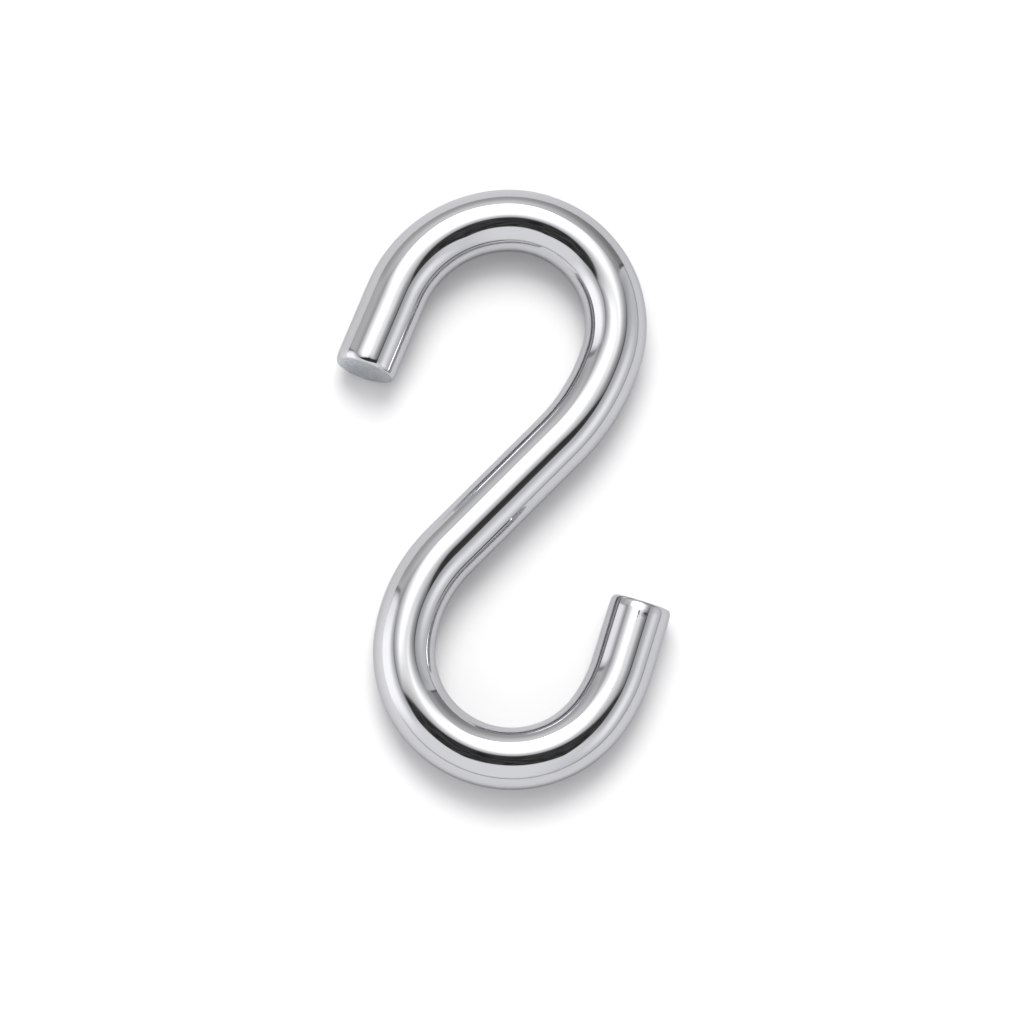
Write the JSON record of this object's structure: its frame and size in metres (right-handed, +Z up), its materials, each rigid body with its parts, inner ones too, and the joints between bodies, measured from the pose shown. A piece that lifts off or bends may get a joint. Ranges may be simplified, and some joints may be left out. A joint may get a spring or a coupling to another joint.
{
  "type": "s hook",
  "caption": "S-shaped hook of round chromed bar, with two open hooks that face opposite ways and plain straight lips.",
  "frame": {"origin": "centre of the outline seen from above, on the surface that the hook lies on", "axes": "+Z up out of that surface, +Y along the hook's length towards the upper hook's crown, +X towards the side that the upper hook's shoulder bulges to, so the shank rises to the right"},
  "size_m": [0.0322, 0.0586, 0.006],
  "materials": {
    "chrome": "polished, with fine polishing lines and small handling marks"
  },
  "bodies": {
    "root": {"hook": "chrome"}
  },
  "joints": []
}
